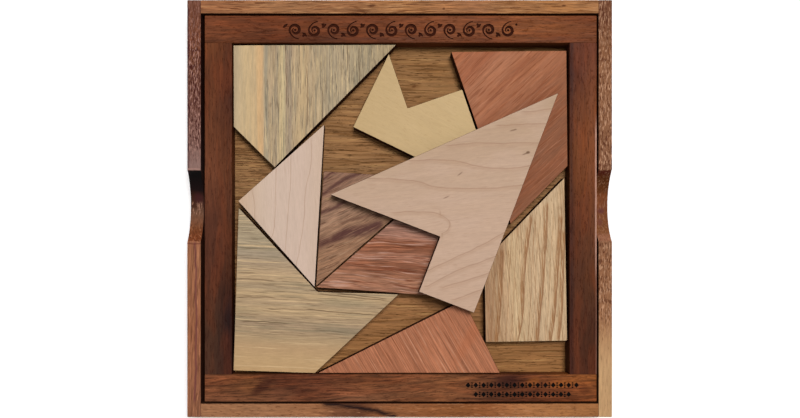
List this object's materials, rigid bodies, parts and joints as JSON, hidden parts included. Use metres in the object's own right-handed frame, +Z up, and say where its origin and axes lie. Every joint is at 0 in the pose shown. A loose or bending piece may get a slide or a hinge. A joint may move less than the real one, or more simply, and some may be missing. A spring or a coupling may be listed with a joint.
{
  "type": "packing puzzle",
  "caption": "Wooden packing puzzle: flat loose tiles of different woods in a square framed tray, standing in an open case with finger notches in two walls.",
  "frame": {"origin": "centre of the case's underside", "axes": "+X to the right along the longer side, +Y to the back, +Z up out of the tray"},
  "size_m": [0.1972, 0.1936, 0.0231],
  "materials": {
    "case_wood": "satin, sanded and oiled",
    "panel_wood": "plain thin plywood, unfinished",
    "rail_wood": "dark reddish brown, satin oil",
    "oak": "open pored, straight grain, satin",
    "spalted_maple": "tan with grey and olive spalting streaks, satin",
    "maple": "pale pinkish, fine brown growth lines, satin",
    "ash": "cream with brown growth ring bands, satin",
    "salmon": "salmon brown, fine straight grain, satin",
    "cream": "plain cream, very fine grain, satin",
    "walnut": "brown with dark purple brown bands, satin",
    "red": "red brown, wavy streaks, satin"
  },
  "bodies": {
    "case": {"case_panel": "panel_wood", "case_wall_left": "case_wood", "case_wall_right": "case_wood", "case_wall_back": "case_wood", "case_wall_front": "case_wood"},
    "tray": {"tray_base": "oak", "tray_rail_back": "rail_wood", "tray_rail_front": "rail_wood", "tray_rail_left": "rail_wood", "tray_rail_right": "rail_wood"},
    "tile_spalted_cut_triangle": {"tile_spalted_cut_triangle": "spalted_maple"},
    "tile_maple_triangle": {"tile_maple_triangle": "maple"},
    "tile_spalted_pentagon": {"tile_spalted_pentagon": "spalted_maple"},
    "tile_ash_trapezoid": {"tile_ash_trapezoid": "ash"},
    "tile_salmon_wedge": {"tile_salmon_wedge": "salmon"},
    "tile_salmon_triangle": {"tile_salmon_triangle": "salmon"},
    "tile_cream_notched": {"tile_cream_notched": "cream"},
    "tile_maple_arrowhead": {"tile_maple_arrowhead": "maple"},
    "tile_walnut_triangle": {"tile_walnut_triangle": "walnut"},
    "tile_red_cut_triangle": {"tile_red_cut_triangle": "red"}
  },
  "joints": [
    {"name": "tray_lift", "type": "slide", "parent": "case", "child": "tray", "axis": [0, 0, 1], "range_m": [0, 0.04]},
    {"name": "spalted_cut_triangle_lift", "type": "slide", "parent": "tray", "child": "tile_spalted_cut_triangle", "axis": [0, 0, 1], "range_m": [0, 0.03]},
    {"name": "maple_triangle_lift", "type": "slide", "parent": "tray", "child": "tile_maple_triangle", "axis": [0, 0, 1], "range_m": [0, 0.03]},
    {"name": "spalted_pentagon_lift", "type": "slide", "parent": "tray", "child": "tile_spalted_pentagon", "axis": [0, 0, 1], "range_m": [0, 0.03]},
    {"name": "ash_trapezoid_lift", "type": "slide", "parent": "tray", "child": "tile_ash_trapezoid", "axis": [0, 0, 1], "range_m": [0, 0.03]},
    {"name": "salmon_wedge_lift", "type": "slide", "parent": "tray", "child": "tile_salmon_wedge", "axis": [0, 0, 1], "range_m": [0, 0.03]},
    {"name": "salmon_triangle_lift", "type": "slide", "parent": "tray", "child": "tile_salmon_triangle", "axis": [0, 0, 1], "range_m": [0, 0.03]},
    {"name": "cream_notched_lift", "type": "slide", "parent": "tray", "child": "tile_cream_notched", "axis": [0, 0, 1], "range_m": [0, 0.03]},
    {"name": "maple_arrowhead_lift", "type": "slide", "parent": "tray", "child": "tile_maple_arrowhead", "axis": [0, 0, 1], "range_m": [0, 0.06]},
    {"name": "walnut_triangle_lift", "type": "slide", "parent": "tray", "child": "tile_walnut_triangle", "axis": [0, 0, 1], "range_m": [0, 0.03]},
    {"name": "red_cut_triangle_lift", "type": "slide", "parent": "tray", "child": "tile_red_cut_triangle", "axis": [0, 0, 1], "range_m": [0, 0.03]}
  ],
  "couplings": [
    {"joint": "ash_trapezoid_lift", "follows": "maple_arrowhead_lift", "ratio": 0.5},
    {"joint": "salmon_wedge_lift", "follows": "maple_arrowhead_lift", "ratio": 0.5},
    {"joint": "salmon_triangle_lift", "follows": "maple_arrowhead_lift", "ratio": 0.5},
    {"joint": "cream_notched_lift", "follows": "maple_arrowhead_lift", "ratio": 0.5},
    {"joint": "walnut_triangle_lift", "follows": "maple_arrowhead_lift", "ratio": 0.5},
    {"joint": "red_cut_triangle_lift", "follows": "maple_arrowhead_lift", "ratio": 0.5}
  ]
}
